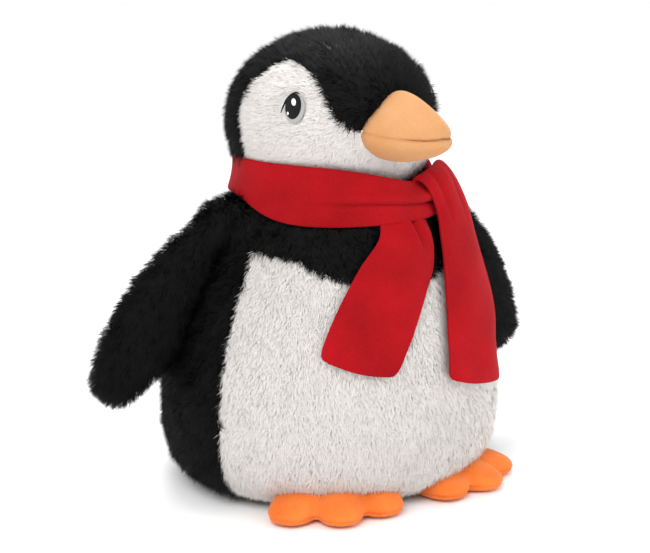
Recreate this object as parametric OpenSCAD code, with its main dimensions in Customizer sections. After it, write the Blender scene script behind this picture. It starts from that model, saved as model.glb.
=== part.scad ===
// Plush penguin: a black and white pile body with an orange beak and feet and a red scarf.
// It stands on z = 0, faces -Y, and its own left side is +X. All sizes are in millimetres.

/* [Body] */
// Width of the body at its widest, without the pile
body_w = 200; // [180:2:220]
// Depth of the body as a part of its width
body_depth = 0.91; // [0.85:0.01:1]
// Height of the body's open neck rim
body_h = 164; // [158:1:168]
// Angle from the front to the seam between the belly and the back
belly_seam = 67; // [60:1:75]
// Thickness of the plush cloth
skin = 3; // [2:0.5:4]
// Gap that the pile fills between the body and what lies on it
pile_gap = 3.4; // [2:0.2:4]

/* [Head] */
// Height of the middle of the head
head_z = 211; // [205:1:216]
// Radius of the head seen from above
head_r = 59; // [54:1:64]
// Half the height of the head
head_up = 48; // [46:1:54]
// How far the head is turned to its own left
head_turn = 10; // [0:1:25]
// Half the width of the black gusset over the crown
crown_half = 36; // [30:1:40]
// Reach of the beak from the middle of the head
beak_reach = 97; // [88:1:104]
// How far the beak points down
beak_tilt = 5; // [0:1:8]

/* [Wings] */
// Thickness of a stuffed wing
wing_t = 20; // [14:1:24]
// How far the wings point backwards
wing_back = 16; // [0:1:20]

/* [Feet] */
// Radius of a toe
toe_r = 13; // [11:0.5:14]
// Turn of both feet round the body, to its own left
foot_turn = 5; // [0:1:6]

/* [Scarf] */
// Inner radius of the scarf's collar
collar_r = 50.8; // [50:0.2:54]
// Thickness of the gathered collar
collar_t = 6.2; // [4:0.2:8]
// Thickness of each hanging tail
tail_t = 2; // [1:0.2:3]

/* [Hidden] */
$fn = 96;

body_k = body_w / 200;
body_table = [[0, 66], [4, 79], [12, 92], [25, 98], [45, 100], [70, 98], [100, 90], [130, 77],
  [150, 66], [164, 57.5], [180, 48]];
body_steps = [0, 4, 12, 25, 45, 70, 100, 130, 150];
neck_z = 175;
socket_r = 48.6;
neck_r = 43.6;
shoulder_x = 70;
shoulder_z = 158;
rim_z = 192;
shelf_z = 187;
mouth_z = 209;

function body_r(z) = lookup(z, body_table) * body_k;
function head_at(z, r, up) = r * sqrt(max(0, 1 - pow((z - head_z) / up, 2)));

// ---- the body's outline, turned about the upright axis ----
module body_form(grow, low, high) {
  rotate_extrude()
    polygon(concat(
      [[0, low], [body_r(low) + grow, low]],
      [for (z = body_steps) if (z > low && z < high) [body_r(z) + grow, z]],
      [[body_r(high) + grow, high], [0, high]]));
}

// Squashes what is built round, so the body is less deep than wide.
module flattened() {
  scale([1, body_depth, 1])
    children();
}

module socket() {
  translate([0, 0, neck_z])
    sphere(r = socket_r);
}

module base_disc(low, high, depth) {
  r = body_r(0) - skin;
  translate([0, 0, low])
    linear_extrude(height = high - low)
    polygon([for (a = [0 : 5 : 355]) [r * cos(a), r * depth * sin(a)]]);
}

module body_shell() {
  difference() {
    body_form(0, 0, body_h);
    body_form(-skin, skin, body_h + 1);
    base_disc(-1, skin + 1, 1);
  }
}

// Upright slice of the front, out to the belly seams.
module front_wedge() {
  reach = 130;
  side = reach * tan(90 - belly_seam);
  linear_extrude(height = 200)
    polygon([[0, 0], [-reach, -side], [-reach, -reach], [reach, -reach], [reach, -side]]);
}

// The white belly's outline seen from the front, low at its middle.
module belly_outline() {
  translate([0, 10, 0])
    rotate([90, 0, 0])
    linear_extrude(height = 140)
    polygon([[-120, -1], [120, -1], [120, 150], [66, 144], [49, 140], [36, 132], [16, 125],
      [-16, 125], [-36, 132], [-49, 140], [-66, 144], [-120, 150]]);
}

// ================= body =================
module torso_stuffing() {
  $fn = 36;
  color([0.93, 0.93, 0.91])
    flattened()
    difference() {
      body_form(-skin, skin, body_h);
      socket();
      translate([0, 0, skin - 1])
        cylinder(r = 58, h = 23);
    }
}

module pellet_bag() {
  color([0.85, 0.83, 0.78])
    flattened()
    translate([0, 0, skin])
    cylinder(r = 57, h = 21.6);
}

module belly_panel() {
  color([0.90, 0.88, 0.86])
    flattened()
    intersection() {
      body_shell();
      front_wedge();
      belly_outline();
    }
}

module chest_panel() {
  color([0.06, 0.06, 0.07])
    flattened()
    difference() {
      intersection() {
        body_shell();
        front_wedge();
      }
      belly_outline();
      socket();
    }
}

module back_panel(side) {
  color([0.06, 0.06, 0.07])
    flattened()
    difference() {
      body_shell();
      front_wedge();
      socket();
      translate([side > 0 ? -130 : 0, -130, -1])
        cube([130, 260, 202]);
    }
}

module back_panel_left() {
  back_panel(1);
}

module back_panel_right() {
  back_panel(-1);
}

module base_panel() {
  color([0.06, 0.06, 0.07])
    base_disc(0, skin, body_depth);
}

module neck_stuffing() {
  color([0.93, 0.93, 0.91])
    translate([0, 0, neck_z])
    sphere(r = 22);
}

// ================= head =================
// Everything here is turned with the head.
module faced() {
  rotate([0, 0, head_turn])
    children();
}

module head_form(grow) {
  r = head_r + grow;
  up = head_up + grow;
  top = head_z + up;
  rotate_extrude()
    polygon(concat(
      [[0, shelf_z], [neck_r - 1.6, shelf_z]],
      [for (z = [rim_z : 6 : top - 1]) [head_at(z, r, up), z]],
      [[head_at(top - 1.6, r, up), top - 1.6], [head_at(top - 0.4, r, up), top - 0.4], [0, top]]));
}

module head_shell() {
  difference() {
    head_form(0);
    head_form(-skin);
  }
}

// Side outline of a face panel, pushed out sideways from x = from.
module face_side(from) {
  translate([from, 0, 0])
    rotate([90, 0, 90])
    linear_extrude(height = 100) {
      translate([-17, 216])
        circle(r = 32);
      translate([-90, 180])
        square([105, 36]);
    }
}

module low_front() {
  translate([0, -90, 180])
    cube([100, 105, mouth_z - 180]);
}

module head_stuffing() {
  color([0.93, 0.93, 0.91])
    faced()
    difference() {
      union() {
        head_form(-skin);
        translate([0, 0, neck_z])
          sphere(r = neck_r);
      }
      translate([0, 0, neck_z])
        sphere(r = 22.5);
      head_shell();
    }
}

module crown_panel() {
  color([0.06, 0.06, 0.07])
    faced()
    difference() {
      intersection() {
        head_shell();
        translate([-crown_half, -90, 180])
          cube([2 * crown_half, 180, 100]);
      }
      low_front();
      mirror([1, 0, 0])
        low_front();
    }
}

module head_back_left() {
  color([0.06, 0.06, 0.07])
    faced()
    difference() {
      head_shell();
      translate([-100, -90, 170])
        cube([100 + crown_half, 180, 110]);
      face_side(crown_half - 1);
    }
}

module face_panel(side) {
  color([0.90, 0.88, 0.86])
    faced()
    mirror([side > 0 ? 0 : 1, 0, 0])
    intersection() {
      head_shell();
      union() {
        face_side(crown_half);
        low_front();
      }
    }
}

module head_back_right() {
  color([0.06, 0.06, 0.07])
    faced()
    mirror([1, 0, 0])
    difference() {
      head_shell();
      translate([-100, -90, 170])
        cube([100 + crown_half, 180, 110]);
      face_side(crown_half - 1);
    }
}

module face_panel_left() {
  face_panel(1);
}

module face_panel_right() {
  face_panel(-1);
}

// ================= beak =================
// A rounded cone along -Y from the head's middle.
module beak_cone(shrink) {
  rotate([90, 0, 0])
    rotate_extrude()
    polygon([[0, 40], [27 - shrink, 40], [26 - shrink, 58], [23.5 - shrink, 68],
      [19.5 - shrink, 78], [14.5 - shrink, 86], [9 - shrink, 92], [5 - shrink, beak_reach - 2 - shrink],
      [2.5 - shrink, beak_reach - shrink], [0, beak_reach - shrink]]);
}

module beak_top_shell() {
  difference() {
    beak_cone(0);
    beak_cone(2);
    translate([-40, -120, -40])
      cube([80, 120, 40]);
    translate([0, 0, 2.4])
      sphere(r = head_r + 0.7);
  }
}

module beak_under_shell() {
  difference() {
    beak_cone(0);
    beak_cone(2);
    translate([-40, -120, 0])
      cube([80, 120, 40]);
    cylinder(r = head_r + 2, h = 60, center = true);
  }
}

// Tips the beak down about the corners of its mouth.
module beak_place() {
  faced()
    translate([0, -60, mouth_z])
    rotate([beak_tilt, 0, 0])
    translate([0, 60, 0])
    children();
}

module beak_upper() {
  color([0.98, 0.66, 0.34])
    beak_place()
    scale([1, 1, 0.8])
    beak_top_shell();
}

module beak_lower() {
  color([0.98, 0.66, 0.34])
    beak_place()
    scale([1, 1, 0.68])
    beak_under_shell();
}

module beak_stuffing() {
  color([0.93, 0.93, 0.91])
    beak_place()
    scale([1, 1, 0.68])
    difference() {
      beak_cone(2);
      cylinder(r = head_r + 2, h = 60, center = true);
    }
}

module eye(side) {
  color([0.03, 0.03, 0.04])
    faced()
    rotate([0, 0, side * 61])
    intersection() {
      difference() {
        head_form(2.2);
        head_form(0);
      }
      translate([0, 0, head_z + 12])
        rotate([90, 0, 0])
        cylinder(r = 6.6, h = 90);
    }
}

module eye_left() {
  eye(1);
}

module eye_right() {
  eye(-1);
}

// ================= wings =================
module wing_root(side) {
  color([0.93, 0.93, 0.91])
    translate([side * shoulder_x, 0, shoulder_z])
    sphere(r = 4.5);
}

module wing_root_left() {
  wing_root(1);
}

module wing_root_right() {
  wing_root(-1);
}

// Places a ball of the wing's outline: [x, z, radius] for the left wing.
wing_balls = [[70, 158, 7], [79, 150, 8.4], [80, 132, 8], [92, 140, 9.5], [92, 106, 9.5],
  [112, 119, 10], [112, 82, 9.5], [131, 90, 9], [139, 68, 8], [131, 63, 8]];

module wing_form(inset) {
  hull() {
    for (b = wing_balls)
      translate([b[0] - shoulder_x, 0, b[1]])
        sphere(r = (b[2] - inset) * wing_t / 20, $fn = 22);
  }
}

module wing_clear() {
  union() {
    body_form(pile_gap + 0.2, skin, body_h);
    translate([shoulder_x, 0, shoulder_z])
      sphere(r = 5.4);
  }
}

// A wing is built at its shoulder and turned backwards.
module wing_place(side) {
  flattened()
    mirror([side > 0 ? 0 : 1, 0, 0])
    difference() {
      translate([shoulder_x, 0, 0])
        rotate([0, 0, wing_back])
        children();
      wing_clear();
    }
}

module wing_half(side, front) {
  color([0.06, 0.06, 0.07])
    wing_place(side)
    difference() {
      wing_form(0);
      wing_form(2);
      translate([-70, front > 0 ? 0 : -60, 0])
        cube([200, 60, 200]);
    }
}

module wing_core(side) {
  color([0.93, 0.93, 0.91])
    wing_place(side)
    wing_form(2);
}

module wing_outer_left() {
  wing_half(1, 1);
}

module wing_inner_left() {
  wing_half(1, -1);
}

module wing_stuffing_left() {
  wing_core(1);
}

module wing_outer_right() {
  wing_half(-1, 1);
}

module wing_inner_right() {
  wing_half(-1, -1);
}

module wing_stuffing_right() {
  wing_core(-1);
}

// ================= feet =================
// Each toe, measured before the body's squash: [its tip's angle from the front, its root's, how
// far its tip is from the body's middle]
toe_plan = [[47, 40, 97], [28, 29, 98], [13.5, 18, 88]];
toe_root = 70;

function at_angle(r, a) = [r * sin(a), -r * cos(a)];

module toe(root, tip, r) {
  long = norm(tip - root);
  translate(root)
    rotate(atan2(tip[0] - root[0], root[1] - tip[1])) {
      circle(r = r);
      translate([-r, -long])
        square([2 * r, long]);
      translate([0, -long])
        circle(r = r);
    }
}

module toes(r, side) {
  union() {
    for (t = toe_plan)
      toe(at_angle(toe_root, t[1] + foot_turn * side), at_angle(t[2], t[0] + foot_turn * side), r);
  }
}

// A layer of the foot, lower towards its tips.
module foot_block(side, r, low, high, dome) {
  intersection() {
    translate([0, 0, low])
      linear_extrude(height = high - low)
      toes(r, side);
    translate([30, -55, 22.5 - 100])
      sphere(r = dome);
  }
}

// The body and the same body tipped as far as a foot lifts.
module foot_clear() {
  body_form(0.8, 0, 45);
  translate([0, -61, 4])
    rotate([12, 0, 0])
    translate([0, 61, -4])
    body_form(0.8, 0, 45);
}

module foot_place(side) {
  flattened()
    mirror([side > 0 ? 0 : 1, 0, 0])
    children();
}

module foot_upper(side) {
  color([0.98, 0.58, 0.26])
    foot_place(side)
    difference() {
      foot_block(side, toe_r, 2.5, 23, 100);
      foot_block(side, toe_r - 2.5, 1, 23, 97.5);
      foot_clear();
    }
}

module foot_sole(side) {
  color([0.98, 0.58, 0.26])
    foot_place(side)
    difference() {
      foot_block(side, toe_r, 0, 2.5, 100);
      foot_clear();
    }
}

module foot_stuffing(side) {
  color([0.93, 0.93, 0.91])
    foot_place(side)
    difference() {
      foot_block(side, toe_r - 2.5, 2.5, 23, 97.5);
      foot_clear();
    }
}

module foot_upper_left() {
  foot_upper(1);
}

module foot_sole_left() {
  foot_sole(1);
}

module foot_stuffing_left() {
  foot_stuffing(1);
}

module foot_upper_right() {
  foot_upper(-1);
}

module foot_sole_right() {
  foot_sole(-1);
}

module foot_stuffing_right() {
  foot_stuffing(-1);
}

// ================= scarf =================
module scarf_collar() {
  color([0.72, 0.08, 0.14])
    difference() {
      translate([0, 0, body_h + 0.6])
        cylinder(r = collar_r + collar_t, h = 19.4);
      cylinder(r = collar_r, h = 200);
    }
}

module scarf_knot() {
  color([0.72, 0.08, 0.14])
    difference() {
      rotate([0, 0, 47])
        translate([0, -63, 159]) {
          cylinder(r = 13, h = 20);
          translate([0, 0, 20])
            sphere(r = 13);
          sphere(r = 13);
        }
      cylinder(r = collar_r + collar_t, h = 184.6);
      body_form(1, 100, body_h);
      translate([0, 0, 150])
        cylinder(r = collar_r + 4, h = 60);
      translate([0, 0, 184.4])
        cylinder(r = collar_r + collar_t + 4, h = 20);
      translate([0, 0, 100])
        cylinder(r = 120, h = 53);
    }
}

// The cloth that lies on the body's pile.
module tail_layer() {
  difference() {
    body_form(pile_gap + tail_t, 40, 149.5);
    body_form(pile_gap, 39, 151);
  }
}

module scarf_tail_front() {
  color([0.72, 0.08, 0.14])
    flattened()
    intersection() {
      tail_layer();
      rotate([90, 0, 0])
        linear_extrude(height = 140)
        polygon([[13, 153], [-13, 142], [-24, 132], [-34, 120], [-42, 108], [-49, 96], [-51, 88],
          [-7, 76], [-6, 82], [-3, 92], [6, 104], [15, 114], [25, 122], [26, 134], [27, 146],
          [34, 153]]);
    }
}

module scarf_tail_over() {
  color([0.72, 0.08, 0.14])
    flattened()
    intersection() {
      tail_layer();
      rotate([90, 0, 40])
        linear_extrude(height = 140)
        polygon([[-4, 153], [-11, 146], [-25, 120], [-34, 104], [-45, 80], [-47, 74], [10, 58],
          [18, 64], [27, 102], [28, 126], [25, 147], [22, 153]]);
    }
}

// ================= assembly =================
torso_stuffing();
pellet_bag();
belly_panel();
chest_panel();
back_panel_left();
back_panel_right();
base_panel();
neck_stuffing();
head_stuffing();
crown_panel();
head_back_left();
head_back_right();
face_panel_left();
face_panel_right();
beak_upper();
beak_lower();
beak_stuffing();
eye_left();
eye_right();
wing_root_left();
wing_root_right();
wing_outer_left();
wing_inner_left();
wing_stuffing_left();
wing_outer_right();
wing_inner_right();
wing_stuffing_right();
foot_upper_left();
foot_sole_left();
foot_stuffing_left();
foot_upper_right();
foot_sole_right();
foot_stuffing_right();
scarf_collar();
scarf_knot();
scarf_tail_front();
scarf_tail_over();
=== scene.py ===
"""A standing plush penguin: pile cloth over soft filling, with an orange beak and feet and a red scarf."""
import math

import bpy
import numpy as np
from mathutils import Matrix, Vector
from mathutils.bvhtree import BVHTree


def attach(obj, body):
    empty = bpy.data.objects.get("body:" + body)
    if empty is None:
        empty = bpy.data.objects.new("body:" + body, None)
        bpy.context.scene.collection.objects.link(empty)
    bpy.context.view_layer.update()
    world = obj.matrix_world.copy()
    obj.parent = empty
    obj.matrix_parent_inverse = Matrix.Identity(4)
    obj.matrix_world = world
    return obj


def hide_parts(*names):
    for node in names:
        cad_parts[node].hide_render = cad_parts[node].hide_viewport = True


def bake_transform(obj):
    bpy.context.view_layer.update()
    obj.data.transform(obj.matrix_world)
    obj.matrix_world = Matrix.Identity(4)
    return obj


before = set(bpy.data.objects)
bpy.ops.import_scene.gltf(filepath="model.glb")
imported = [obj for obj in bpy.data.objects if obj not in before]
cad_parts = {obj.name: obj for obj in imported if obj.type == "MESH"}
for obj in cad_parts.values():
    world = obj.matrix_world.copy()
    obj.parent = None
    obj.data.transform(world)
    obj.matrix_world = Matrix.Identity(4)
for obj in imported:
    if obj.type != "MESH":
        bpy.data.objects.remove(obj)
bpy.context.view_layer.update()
MM = 0.001
DEPTH = 0.91  # the body's depth as a part of its width
SEAM = math.radians(67)  # side seams, either side of the front
HEAD_Z = 0.211
MOUTH_Z = 0.209
HEAD_TURN = math.radians(10)
BEAK_TILT = math.radians(5)
EYE_AROUND = math.radians(61)
BASE_TOP = 0.0052  # the base's cloth turns up round the body's edge to here
WING_BACK = math.radians(16)
THICK = 0.77  # share of the pile that is drawn; its blades are wider for it


# ---------------------------------------------------------------- small tools
def pick(obj):
    """Only this object is selected and active."""
    bpy.ops.object.select_all(action="DESELECT")
    obj.select_set(True)
    bpy.context.view_layer.objects.active = obj
    return obj


def points(obj):
    co = np.empty(len(obj.data.vertices) * 3, np.float32)
    obj.data.vertices.foreach_get("co", co)
    return co.reshape(-1, 3).astype(float)


def place(obj, co):
    obj.data.vertices.foreach_set("co", np.asarray(co, np.float32).ravel())
    obj.data.update()


def apply(obj, kind, name="step", **values):
    """Adds a modifier, sets it and applies it."""
    pick(obj)
    mod = obj.modifiers.new(name, kind)
    for key, value in values.items():
        setattr(mod, key, value)
    bpy.ops.object.modifier_apply(modifier=mod.name)
    return obj


def to_head(p):
    """Points as the head sees them, before it was turned."""
    c, s = math.cos(HEAD_TURN), math.sin(HEAD_TURN)
    return np.stack([p[:, 0] * c + p[:, 1] * s, p[:, 1] * c - p[:, 0] * s, p[:, 2]], 1)


def from_head(p):
    c, s = math.cos(HEAD_TURN), math.sin(HEAD_TURN)
    return np.stack([p[:, 0] * c - p[:, 1] * s, p[:, 1] * c + p[:, 0] * s, p[:, 2]], 1)


def unit(v):
    return v / np.maximum(np.linalg.norm(v, axis=1, keepdims=True), 1e-9)


def waves(p, size, seed):
    """A smooth wandering value about -1 to 1 with bumps of that size."""
    rng = np.random.default_rng(seed)
    out = np.zeros(len(p))
    for _ in range(5):
        d = rng.normal(size=3)
        d /= np.linalg.norm(d)
        out += np.sin(p @ d * (2 * math.pi / size) * rng.uniform(0.7, 1.4) + rng.uniform(0, 6.28))
    return out / 2.6


# ---------------------------------------------------------------- soft forms
def copy_of(name, nodes):
    """One new mesh from copies of CAD nodes."""
    bpy.ops.object.select_all(action="DESELECT")
    copies = []
    for node in nodes:
        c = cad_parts[node].copy()
        c.data = c.data.copy()
        c.parent = None
        c.matrix_world.identity()
        bpy.context.scene.collection.objects.link(c)
        c.hide_render = c.hide_viewport = False
        c.data.materials.clear()
        c.select_set(True)
        copies.append(c)
    bpy.context.view_layer.objects.active = copies[0]
    if len(copies) > 1:
        bpy.ops.object.join()
    obj = bpy.context.view_layer.objects.active
    obj.name = obj.data.name = name
    for key in list(obj.keys()):
        if key.startswith("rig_"):
            del obj[key]
    return pick(obj)


def stuff(obj, voxel, cap, pressure=4.0, smooth=4, shrink=0.0):
    """Closes the form, fills it with Cloth pressure and rounds it."""
    pick(obj)
    apply(obj, "REMESH", mode="VOXEL", voxel_size=voxel, use_smooth_shade=True)
    if smooth:
        apply(obj, "SMOOTH", factor=0.6, iterations=smooth)
    start = points(obj)
    if shrink:
        nor = normals(obj)
        start = start - nor * shrink
        place(obj, start)
    mod = obj.modifiers.new("fill", "CLOTH")
    s = mod.settings
    s.quality = 5
    s.mass = 0.3
    s.tension_stiffness = s.compression_stiffness = 12
    s.shear_stiffness = 6
    s.bending_stiffness = 1.5
    s.use_pressure = True
    s.uniform_pressure_force = pressure
    s.effector_weights.gravity = 0
    mod.collision_settings.use_collision = False
    mod.point_cache.frame_start = 1
    mod.point_cache.frame_end = 20
    for f in range(1, 21):
        bpy.context.scene.frame_set(f)
    dg = bpy.context.evaluated_depsgraph_get()
    ev = obj.evaluated_get(dg).to_mesh()
    co = np.empty(len(ev.vertices) * 3, np.float32)
    ev.vertices.foreach_get("co", co)
    obj.evaluated_get(dg).to_mesh_clear()
    obj.modifiers.remove(mod)
    bpy.context.scene.frame_set(1)
    move = co.reshape(-1, 3) - start
    far = np.linalg.norm(move, axis=1, keepdims=True)
    place(obj, start + move * np.minimum(1, cap / np.maximum(far, 1e-9)))
    apply(obj, "SMOOTH", factor=0.5, iterations=2)
    apply(obj, "SUBSURF", levels=1, render_levels=1)
    bpy.ops.object.shade_smooth()
    return obj


def normals(obj):
    n = np.empty(len(obj.data.vertices) * 3, np.float32)
    obj.data.vertices.foreach_get("normal", n)
    return n.reshape(-1, 3).astype(float)


def add_ball(form, middle, size):
    """Joins a ball to a form that is going to be remeshed."""
    bpy.ops.object.select_all(action="DESELECT")
    bpy.ops.mesh.primitive_uv_sphere_add(segments=32, ring_count=20, radius=1.0, location=(0, 0, 0))
    ball = bpy.context.object
    place(ball, points(ball) * np.array(size) + np.array(middle))
    form.select_set(True)
    bpy.context.view_layer.objects.active = form
    bpy.ops.object.join()
    return form


def panel(name, form, inside, body, slot, mat, *nodes):
    """The part of a form whose face centres are inside, as its own piece."""
    obj = form.copy()
    obj.data = form.data.copy()
    obj.name = obj.data.name = name
    bpy.context.scene.collection.objects.link(obj)
    pick(obj)
    mid = np.empty(len(obj.data.polygons) * 3, np.float32)
    obj.data.polygons.foreach_get("center", mid)
    out = ~inside(mid.reshape(-1, 3).astype(float))
    bpy.ops.object.mode_set(mode="EDIT")
    bpy.ops.mesh.select_mode(type="FACE")
    bpy.ops.mesh.select_all(action="DESELECT")
    bpy.ops.object.mode_set(mode="OBJECT")
    obj.data.polygons.foreach_set("select", out)
    bpy.ops.object.mode_set(mode="EDIT")
    bpy.ops.mesh.delete(type="FACE")
    bpy.ops.object.mode_set(mode="OBJECT")
    obj.data.materials.clear()
    obj.data.materials.append(mat)
    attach(obj, body)
    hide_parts(*nodes)
    return obj


def grow(name, form, inside, body, mat, per_mm2, length, nap, lean=52, width=0.34,
         seed=1, tuft=4.5, trim=None, wander=1.0, stray=0.16):
    """Pile: tapered blades with a bend, rooted on a form where inside, lying along nap."""
    rng = np.random.default_rng(seed)
    me = form.data
    me.calc_loop_triangles()
    tri = np.empty(len(me.loop_triangles) * 3, np.int32)
    me.loop_triangles.foreach_get("vertices", tri)
    tri = tri.reshape(-1, 3)
    co, vn = points(form), normals(form)
    a, b, c = co[tri[:, 0]], co[tri[:, 1]], co[tri[:, 2]]
    area = np.linalg.norm(np.cross(b - a, c - a), axis=1) / 2
    margin = inside(a) | inside(b) | inside(c) | inside((a + b + c) / 3)
    area = np.where(margin, area, 0)
    count = int(area.sum() * 1e6 * per_mm2 * THICK)
    which = np.searchsorted(np.cumsum(area), rng.random(count) * area.sum())
    which = np.minimum(which, len(tri) - 1)
    u, v = rng.random(count), rng.random(count)
    flip = u + v > 1
    u, v = np.where(flip, 1 - u, u), np.where(flip, 1 - v, v)
    t = tri[which]
    w = 1 - u - v
    p = co[t[:, 0]] * w[:, None] + co[t[:, 1]] * u[:, None] + co[t[:, 2]] * v[:, None]
    n = unit(vn[t[:, 0]] * w[:, None] + vn[t[:, 1]] * u[:, None] + vn[t[:, 2]] * v[:, None])
    ok = inside(p)
    p, n = p[ok], n[ok]
    long = length * MM * rng.uniform(0.7, 1.12, len(p))
    if trim is not None:
        long *= trim(p)
        ok = long > 0.0008
        p, n, long = p[ok], n[ok], long[ok]
    k = len(p)
    d = nap(p, n)
    d = unit(d - n * np.sum(d * n, 1, keepdims=True))
    side = np.cross(n, d)
    turn = wander * (0.5 * waves(p, 0.017, seed + 11) + 0.35 * waves(p, 0.006, seed + 12))
    turn += rng.normal(0, 0.32, k)
    d = d * np.cos(turn)[:, None] + side * np.sin(turn)[:, None]
    tilt = np.radians(lean) + 0.22 * wander * waves(p, 0.011, seed + 13) + rng.normal(0, stray, k)
    tilt = np.clip(tilt, 0.15, 1.38)
    low, high = tilt * 0.72, np.minimum(tilt * 1.22, 1.5)
    mid = p + (n * np.cos(low)[:, None] + d * np.sin(low)[:, None]) * (long * 0.5)[:, None]
    tip = mid + (n * np.cos(high)[:, None] + d * np.sin(high)[:, None]) * (long * 0.5)[:, None]
    if tuft:
        size = tuft * MM
        cell = np.floor(p / size)
        jit = np.modf(np.abs(np.sin(cell @ np.array([[12.9, 39.3, 7.1], [78.2, 11.1, 45.7],
                                                     [37.7, 83.1, 23.3]])) * 4375.5))[0]
        heart = (cell + 0.2 + 0.6 * jit) * size - p
        heart -= n * np.sum(heart * n, 1, keepdims=True)
        pull = rng.uniform(0.25, 0.6, k)[:, None] * min(1.0, wander)
        mid += heart * pull * 0.4
        tip += heart * pull
    across = unit(np.cross(tip - p, n))
    spin = rng.uniform(-0.9, 0.9, k)
    across = unit(across * np.cos(spin)[:, None] + n * np.sin(spin)[:, None])
    half = (width * MM / 2 / THICK ** 0.5) * rng.uniform(0.75, 1.2, k)[:, None]
    root = p - n * 0.0002
    verts = np.stack([root - across * half, root + across * half, mid + across * half * 0.85,
                      mid - across * half * 0.85, tip], 1).reshape(-1, 3)
    verts[:, 2] = np.maximum(verts[:, 2], 0.0)
    base = (np.arange(k) * 5)[:, None]
    quads = base + np.array([0, 1, 2, 3])
    tips = base + np.array([3, 2, 4])
    loops = np.concatenate([quads, tips], 1).astype(np.int32).ravel()
    starts = (np.arange(k) * 7)[:, None] + np.array([0, 4])
    out = bpy.data.meshes.new(name)
    out.vertices.add(k * 5)
    out.vertices.foreach_set("co", verts.astype(np.float32).ravel())
    out.loops.add(k * 7)
    out.loops.foreach_set("vertex_index", loops)
    out.polygons.add(k * 2)
    out.polygons.foreach_set("loop_start", starts.astype(np.int32).ravel())
    out.polygons.foreach_set("use_smooth", np.ones(k * 2, bool))
    out.update(calc_edges=True)
    # tip runs from 0 at the root to 1 at the tip; the pile's colour darkens towards the root with it, as
    # painted shade among the blades
    shade = out.attributes.new("tip", "FLOAT", "POINT")
    tone = rng.uniform(0, 1, k)
    shade.data.foreach_set("value", np.tile([0, 0, 0.55, 0.55, 1.0], k).astype(np.float32))
    hair = out.attributes.new("tone", "FLOAT", "POINT")
    hair.data.foreach_set("value", np.repeat(tone, 5).astype(np.float32))
    soft = unit(0.75 * n + 0.25 * d)
    out.normals_split_custom_set_from_vertices(np.repeat(soft, 5, axis=0).astype(np.float32))
    obj = bpy.data.objects.new(name, out)
    bpy.context.scene.collection.objects.link(obj)
    out.materials.append(mat)
    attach(obj, body)
    return obj


# ---------------------------------------------------------------- finishes
def group(name, inputs, outputs):
    g = bpy.data.node_groups.new(name, "ShaderNodeTree")
    for label, kind, value in inputs:
        s = g.interface.new_socket(label, in_out="INPUT", socket_type=kind)
        if value is not None:
            s.default_value = value
    for label, kind in outputs:
        g.interface.new_socket(label, in_out="OUTPUT", socket_type=kind)
    return g, g.nodes.new("NodeGroupInput"), g.nodes.new("NodeGroupOutput")


def pile_tone():
    """Colour of one blade: darker at the root, lighter at the tip, as painted shade down in the pile, and a
    little different from its neighbours.
    """
    g, gin, gout = group("pile tone", [("Root", "NodeSocketColor", (0, 0, 0, 1)),
                                       ("Tip", "NodeSocketColor", (1, 1, 1, 1)),
                                       ("Patch", "NodeSocketFloat", 60.0),
                                       ("Spread", "NodeSocketFloat", 0.2)],
                         [("Color", "NodeSocketColor")])
    n, l = g.nodes, g.links
    tip = n.new("ShaderNodeAttribute")
    tip.attribute_name = "tip"
    tone = n.new("ShaderNodeAttribute")
    tone.attribute_name = "tone"
    mix = n.new("ShaderNodeMix")
    mix.data_type = "RGBA"
    l.new(tip.outputs["Fac"], mix.inputs["Factor"])
    l.new(gin.outputs["Root"], mix.inputs["A"])
    l.new(gin.outputs["Tip"], mix.inputs["B"])
    co = n.new("ShaderNodeTexCoord")
    noise = n.new("ShaderNodeTexNoise")
    l.new(co.outputs["Object"], noise.inputs["Vector"])
    l.new(gin.outputs["Patch"], noise.inputs["Scale"])
    add = n.new("ShaderNodeMath")
    add.operation = "ADD"
    l.new(tone.outputs["Fac"], add.inputs[0])
    l.new(noise.outputs["Fac"], add.inputs[1])
    less = n.new("ShaderNodeMath")
    less.operation = "SUBTRACT"
    l.new(add.outputs[0], less.inputs[0])
    less.inputs[1].default_value = 1.0
    scale = n.new("ShaderNodeMath")
    scale.operation = "MULTIPLY_ADD"
    l.new(less.outputs[0], scale.inputs[0])
    l.new(gin.outputs["Spread"], scale.inputs[1])
    scale.inputs[2].default_value = 1.0
    hsv = n.new("ShaderNodeHueSaturation")
    l.new(scale.outputs[0], hsv.inputs["Value"])
    l.new(mix.outputs["Result"], hsv.inputs["Color"])
    l.new(hsv.outputs["Color"], gout.inputs["Color"])
    return g


PILE_TONE = pile_tone()


def new_material(name):
    m = bpy.data.materials.new(name)
    m.use_nodes = True
    return m, m.node_tree.nodes, m.node_tree.links, m.node_tree.nodes["Principled BSDF"]


def pile_finish(name, root, tip, rough, spread, sheen=0.0, tint=(1, 1, 1), patch=60.0):
    m, n, l, bsdf = new_material(name)
    g = n.new("ShaderNodeGroup")
    g.node_tree = PILE_TONE
    g.inputs["Root"].default_value = (*root, 1)
    g.inputs["Tip"].default_value = (*tip, 1)
    g.inputs["Patch"].default_value = patch
    g.inputs["Spread"].default_value = spread
    l.new(g.outputs["Color"], bsdf.inputs["Base Color"])
    bsdf.inputs["Roughness"].default_value = rough
    bsdf.inputs["Specular IOR Level"].default_value = 0.12
    bsdf.inputs["Sheen Weight"].default_value = sheen
    bsdf.inputs["Sheen Roughness"].default_value = 0.4
    bsdf.inputs["Sheen Tint"].default_value = (*tint, 1)
    return m


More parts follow.
